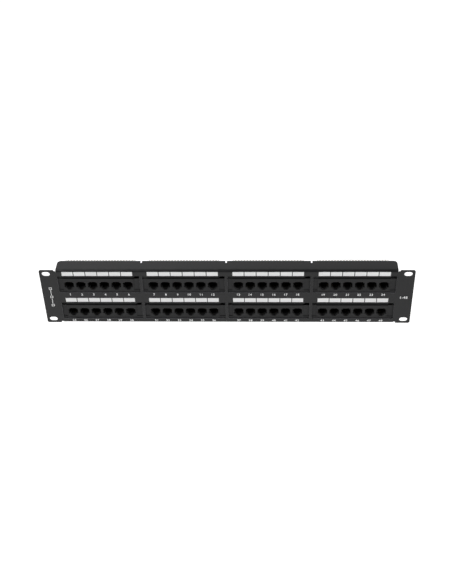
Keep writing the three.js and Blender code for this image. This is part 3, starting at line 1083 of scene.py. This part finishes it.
def socket_numbers():
    """A number under every socket, in reading order."""
    sizes = bpy.context.scene.patch_panel_marks
    marks = []
    for number, place in MODULE_PLACES.items():
        for index in range(SOCKETS):
            count = sizes.first_number + (number - 1) * SOCKETS + index
            at = (place.x + socket_middle(index), INK_Y, place.z - NUMBER_DROP)
            marks.append(printed(str(count), sizes.digit_height, at, tight=1.12))
    return together(marks)


def ear_marks():
    """A plain pictogram of linked boxes up the left ear, and the range of socket numbers on the right ear."""
    x = -SLOT_X + EAR_MARK_INSET
    marks = []
    for z in (-BOX_STEP, 0, BOX_STEP):
        outer = box((x - BOX_HALF, INK_Y, z - BOX_HALF), (x + BOX_HALF, INK_REAR, z + BOX_HALF))
        opening = box((x - BOX_HOLE, INK_Y - PAST, z - BOX_HOLE), (x + BOX_HOLE, PAST, z + BOX_HOLE))
        marks.append(combine(outer, [opening], "DIFFERENCE"))
    for z in (-BOX_STEP / 2, BOX_STEP / 2):
        low = (x - LINK_HALF_WIDTH, INK_Y, z - LINK_HALF_HEIGHT)
        marks.append(box(low, (x + LINK_HALF_WIDTH, INK_REAR, z + LINK_HALF_HEIGHT)))
    first = bpy.context.scene.patch_panel_marks.first_number
    last = first + len(MODULE_PLACES) * SOCKETS - 1
    marks.append(printed(f"{first}-{last}", mm(4.1), (SLOT_X - EAR_MARK_INSET, INK_Y, -mm(0.4)), tight=1.1))
    return together(marks)


# ---- operators ----
def colours():
    return bpy.context.scene.patch_panel_colours


class PATCHPANEL_OT_front(bpy.types.Operator):
    """Fold and punch the steel front"""

    bl_idname = "patchpanel.front"
    bl_label = "Steel front"

    def execute(self, context):
        sizes = context.scene.patch_panel_sheet
        sheet = combine(sheet_blank(sizes), sheet_tools(sizes), "DIFFERENCE")
        colour = colours().coat
        # the cut edges' coat is nine times lighter than the face: a painted highlight
        edge_highlight_coat = powder_coat("coat_on_edges", scaled(colour, 9), 0.5)
        dress(sheet, powder_coat("powder_coat", colour, 0.3), edge_highlight_coat)
        mark_cut_edges(sheet)
        # the rounds on the sharp edges take the lighter edge coat too, so they carry the painted highlight
        soften(sheet, sizes.edge, edge_material=1)
        settle(sheet, "folded_front", "powder_coat", "front_panel")
        return {"FINISHED"}


class PATCHPANEL_OT_studs(bpy.types.Operator):
    """Weld two threaded studs behind the steel for each module"""

    bl_idname = "patchpanel.studs"
    bl_label = "Studs"

    def execute(self, context):
        right = dress(stud(), plated("stud_plating", (0.62, 0.6, 0.56), (0.45, 0.43, 0.4), 0.28, 0.42))
        left = copy_at(right, (-2 * STUD_X, 0, 0))
        spread(together([right, left]), "module_studs", "zinc")
        return {"FINISHED"}


class PATCHPANEL_OT_housings(bpy.types.Operator):
    """Mould the eight socket housings"""

    bl_idname = "patchpanel.housings"
    bl_label = "Socket housings"

    def execute(self, context):
        finish = moulded("housing_black", colours().housing, mm(0.32), 0.5, 0.58)
        spread(dress(housing(), finish), "socket_housing", "housing_black", "jack_housing")
        return {"FINISHED"}


class PATCHPANEL_OT_contacts(bpy.types.Operator):
    """Mould the comb carriers and bend the contact springs"""

    bl_idname = "patchpanel.contacts"
    bl_label = "Carriers and springs"

    def execute(self, context):
        dark = scaled(colours().housing, 0.7)
        finish = moulded("carrier_black", dark, mm(0.2), 0.42, 0.5)
        spread(dress(carrier(), finish), "comb_carrier", "carrier_black", "contact_carrier")
        gold = plated("contact_gold", (0.83, 0.62, 0.28), (0.62, 0.42, 0.17), 0.2, 0.34)
        spread(dress(springs(), gold), "contact_springs", "contact_gold")
        return {"FINISHED"}


class PATCHPANEL_OT_boards(bpy.types.Operator):
    """Cut the circuit boards and tin their joints"""

    bl_idname = "patchpanel.boards"
    bl_label = "Circuit boards"

    def execute(self, context):
        green = dress(board(), solder_mask(colours()))
        tin = dress(board_metal(), plated("tinned_joints", (0.72, 0.72, 0.7), (0.5, 0.5, 0.48), 0.22, 0.36))
        spread(green, "board", "board_green", "circuit_board")
        spread(tin, "board_joints", "zinc")
        return {"FINISHED"}


class PATCHPANEL_OT_wire_blocks(bpy.types.Operator):
    """Mould the wire blocks with their blades and colour-code strips"""

    bl_idname = "patchpanel.wire_blocks"
    bl_label = "Wire blocks"

    def execute(self, context):
        pale = moulded("wire_block_white", colours().wire_block, mm(0.25), 0.34, 0.44, mm(0.006))
        spread(dress(wire_block(), pale), "tower_block", "wire_block_white", "wire_block")
        tin = plated("blade_tin", (0.66, 0.66, 0.64), (0.42, 0.42, 0.4), 0.25, 0.4)
        spread(dress(blades(), tin), "wire_blades", "zinc")
        spread(dress(colour_strip(), pair_colours(colours())), "colour_code_strip", "label_white")
        return {"FINISHED"}


class PATCHPANEL_OT_nuts(bpy.types.Operator):
    """Fit a nut on every stud"""

    bl_idname = "patchpanel.nuts"
    bl_label = "Nuts"

    def execute(self, context):
        master = dress(nut(), plated("zinc_plating", (0.66, 0.67, 0.7), (0.47, 0.48, 0.5), 0.24, 0.38))
        for side, shift in (("left", -2 * STUD_X), ("right", 0)):
            for number, place in MODULE_PLACES.items():
                piece = copy_at(master, place + Vector((shift, 0, 0)))
                settle(piece, f"m3_nut_{number}_{side}", "zinc", f"module_nut_{number}_{side}")
        bpy.data.objects.remove(master)
        return {"FINISHED"}


class PATCHPANEL_OT_labels(bpy.types.Operator):
    """Stick the label strips above the windows"""

    bl_idname = "patchpanel.labels"
    bl_label = "Label strips"

    def execute(self, context):
        white = paper("label_paper", colours().paper)
        dark = paper("label_film", (0.03, 0.03, 0.032))
        for number in MODULES:
            film, fields = label_strip(number)
            strip = together([dress(film, dark), dress(fields, white)])
            settle(strip, f"writing_strip_{number}", "label_white", f"label_strip_{number}")
        return {"FINISHED"}


class PATCHPANEL_OT_printing(bpy.types.Operator):
    """Print the socket numbers and the marks on the ears"""

    bl_idname = "patchpanel.printing"
    bl_label = "Printing"

    def execute(self, context):
        white = ink(colours())
        settle(dress(socket_numbers(), white), "socket_numbers", "print_white")
        settle(dress(ear_marks(), white), "ear_marks", "print_white")
        return {"FINISHED"}


# ---- stage ----
CAMERA_PLACE = (0.0499693, -0.9743043, 0.8105419)
CAMERA_TURN = math.radians(-2.968)  # about the vertical
CAMERA_DIP = math.radians(39.460)  # below the horizon
CAMERA_ROLL = math.radians(-1.834)
KEY_PLACE, KEY_SIZE = (-0.72, -0.68, 1.35), (0.35, 0.35)
FILL_PLACE, FILL_SIZE = (1.6, -0.7, 1.1), (0.9, 0.9)
RIM_PLACE, RIM_SIZE = (-0.55, 0.75, 1.3), (0.9, 0.25)
WALL_LIGHT, SIDE_LIGHT, DIM_LIGHT = 1.1, 0.4, 0.03
WALL_LOSS = 0.72  # what is left of the wall's light at its right end
FLOOR_WIDTH = 14
FLOOR_CUTS = 6
SENSOR_WIDTH = 36


def camera_matrix():
    """Where the camera stands and how it is turned."""
    turn, dip, roll = CAMERA_TURN, CAMERA_DIP, CAMERA_ROLL
    ahead = Vector((math.sin(turn) * math.cos(dip), math.cos(turn) * math.cos(dip), -math.sin(dip)))
    level = Vector((math.cos(turn), -math.sin(turn), 0))
    upright = level.cross(ahead)
    right = math.cos(roll) * level + math.sin(roll) * upright
    up = -math.sin(roll) * level + math.cos(roll) * upright
    matrix = Matrix((right, up, -ahead)).transposed().to_4x4()
    matrix.translation = Vector(CAMERA_PLACE)
    return matrix


def studio_room(strength):
    """A dim studio with a lit wall behind the panel and paler sides."""
    world = bpy.data.worlds.new("studio_room")
    room = Nodes(world, "Generated")
    fade = room.span(room.axis("X"), -0.5, 0.5, 1, WALL_LOSS)
    wall = room.span(room.axis("Y"), 0.25, 0.7, 0, WALL_LIGHT) * fade
    sides = room.span(room.axis("X").size(), 0.55, 0.95, 0, SIDE_LIGHT)
    sky = room.tree.nodes["Background"]
    room.tree.links.new(((wall + sides + DIM_LIGHT) * strength).socket, sky.inputs["Strength"])
    sky.inputs["Color"].default_value = (1, 1, 1, 1)
    return world


def softbox(name, power, at, width, height):
    """A soft light that faces the panel."""
    bpy.ops.object.select_all(action="DESELECT")
    bpy.ops.object.light_add(type="AREA", location=at)
    light = bpy.context.object
    light.name = name
    light.data.energy = power
    light.data.shape = "RECTANGLE"
    light.data.size = width
    light.data.size_y = height
    light.rotation_euler = (-Vector(at)).to_track_quat("-Z", "Y").to_euler()
    return light


class PATCHPANEL_OT_stage(bpy.types.Operator):
    """Set up the floor, the lights and the camera"""

    bl_idname = "patchpanel.stage"
    bl_label = "Stage"

    def execute(self, context):
        settings = context.scene.patch_panel_stage
        bpy.ops.object.select_all(action="DESELECT")
        bpy.ops.mesh.primitive_plane_add(size=FLOOR_WIDTH, location=(0, 0, -settings.floor_drop))
        floor = applied(context.object)
        with editing(floor, "FACE"):
            bpy.ops.mesh.select_all(action="SELECT")
            bpy.ops.mesh.subdivide(number_cuts=FLOOR_CUTS)
        floor.name = "studio_floor"
        dress(floor, floor_finish(colours()))
        softbox("key_softbox", settings.key_power, KEY_PLACE, *KEY_SIZE)
        softbox("fill_softbox", settings.fill_power, FILL_PLACE, *FILL_SIZE)
        softbox("rim_softbox", settings.rim_power, RIM_PLACE, *RIM_SIZE)
        context.scene.world = studio_room(settings.room_strength)
        context.scene.view_settings.view_transform = "Standard"
        bpy.ops.object.select_all(action="DESELECT")
        bpy.ops.object.camera_add()
        camera = context.object
        camera.name = "studio_camera"
        camera.data.lens = settings.focal_length
        camera.data.sensor_width = SENSOR_WIDTH
        camera.data.clip_start = 0.01
        camera.matrix_world = camera_matrix()
        context.scene.camera = camera
        return {"FINISHED"}


OPERATORS = (
    PATCHPANEL_OT_stage,
    PATCHPANEL_OT_front,
    PATCHPANEL_OT_studs,
    PATCHPANEL_OT_housings,
    PATCHPANEL_OT_contacts,
    PATCHPANEL_OT_boards,
    PATCHPANEL_OT_wire_blocks,
    PATCHPANEL_OT_nuts,
    PATCHPANEL_OT_labels,
    PATCHPANEL_OT_printing,
)

SETTINGS = {
    "patch_panel_sheet": SheetSizes,
    "patch_panel_modules": ModuleSizes,
    "patch_panel_marks": MarkSizes,
    "patch_panel_colours": FinishColours,
    "patch_panel_stage": StageSettings,
}


class PATCHPANEL_PT_sidebar(bpy.types.Panel):
    """Settings and steps of the patch panel"""

    bl_idname = "PATCHPANEL_PT_sidebar"
    bl_label = "Patch panel"
    bl_space_type = "VIEW_3D"
    bl_region_type = "UI"
    bl_category = "Patch panel"

    def draw(self, context):
        for name, group in SETTINGS.items():
            column = self.layout.column(heading=group.__doc__)
            for setting in group.__annotations__:
                column.prop(getattr(context.scene, name), setting)
        for operator in OPERATORS:
            self.layout.operator(operator.bl_idname)


def register():
    for cls in (*SETTINGS.values(), *OPERATORS, PATCHPANEL_PT_sidebar):
        bpy.utils.register_class(cls)
    for name, group in SETTINGS.items():
        setattr(bpy.types.Scene, name, PointerProperty(type=group))


def unregister():
    for name in SETTINGS:
        delattr(bpy.types.Scene, name)
    for cls in reversed((*SETTINGS.values(), *OPERATORS, PATCHPANEL_PT_sidebar)):
        bpy.utils.unregister_class(cls)


def main():
    register()
    for operator in OPERATORS:
        group, name = operator.bl_idname.split(".")
        getattr(getattr(bpy.ops, group), name)()


if __name__ == "__main__":
    main()
